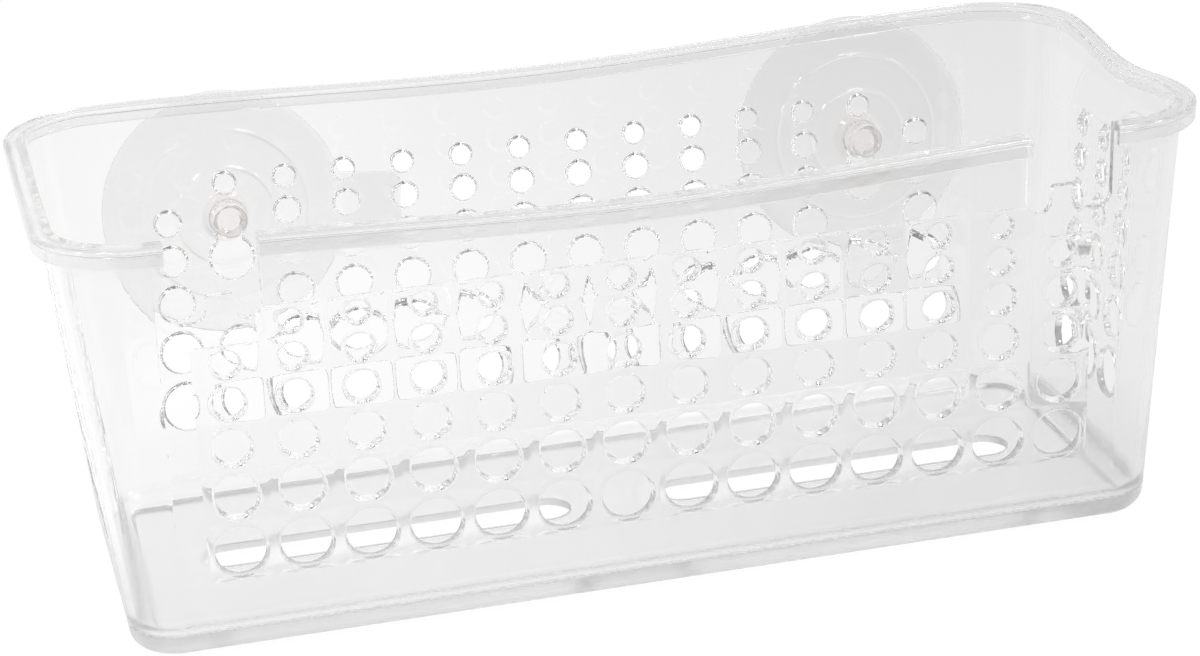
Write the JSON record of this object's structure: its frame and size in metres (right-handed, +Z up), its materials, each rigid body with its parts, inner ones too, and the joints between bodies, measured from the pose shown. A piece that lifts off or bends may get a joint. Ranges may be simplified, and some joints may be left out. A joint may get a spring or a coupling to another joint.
{
  "type": "suction shower caddy",
  "caption": "Clear rectangular basket with drain holes and notches for handles, held to a wall by soft suction cups in keyholes.",
  "frame": {"origin": "middle of the basket's underside, on the boss's end, which lies on the surface that it stands on", "axes": "+X along the basket's length, +Y towards the back wall with the suction cups, +Z up to the open top"},
  "size_m": [0.2902, 0.1324, 0.1093],
  "materials": {
    "clear_plastic": "clear rigid moulding, polished",
    "soft_clear_vinyl": "clear flexible vinyl, smooth, faintly warm where it is thick"
  },
  "bodies": {
    "basket": {"basket": "clear_plastic"},
    "left_cup": {"suction_cup_left": "soft_clear_vinyl"},
    "right_cup": {"suction_cup_right": "soft_clear_vinyl"}
  },
  "joints": [
    {"name": "left_cup_slide", "type": "slide", "parent": "basket", "child": "left_cup", "axis": [0, -0.0932, -0.9956], "range_m": [0, 0.0111]},
    {"name": "right_cup_slide", "type": "slide", "parent": "basket", "child": "right_cup", "axis": [0, -0.0932, -0.9956], "range_m": [0, 0.0111]}
  ]
}
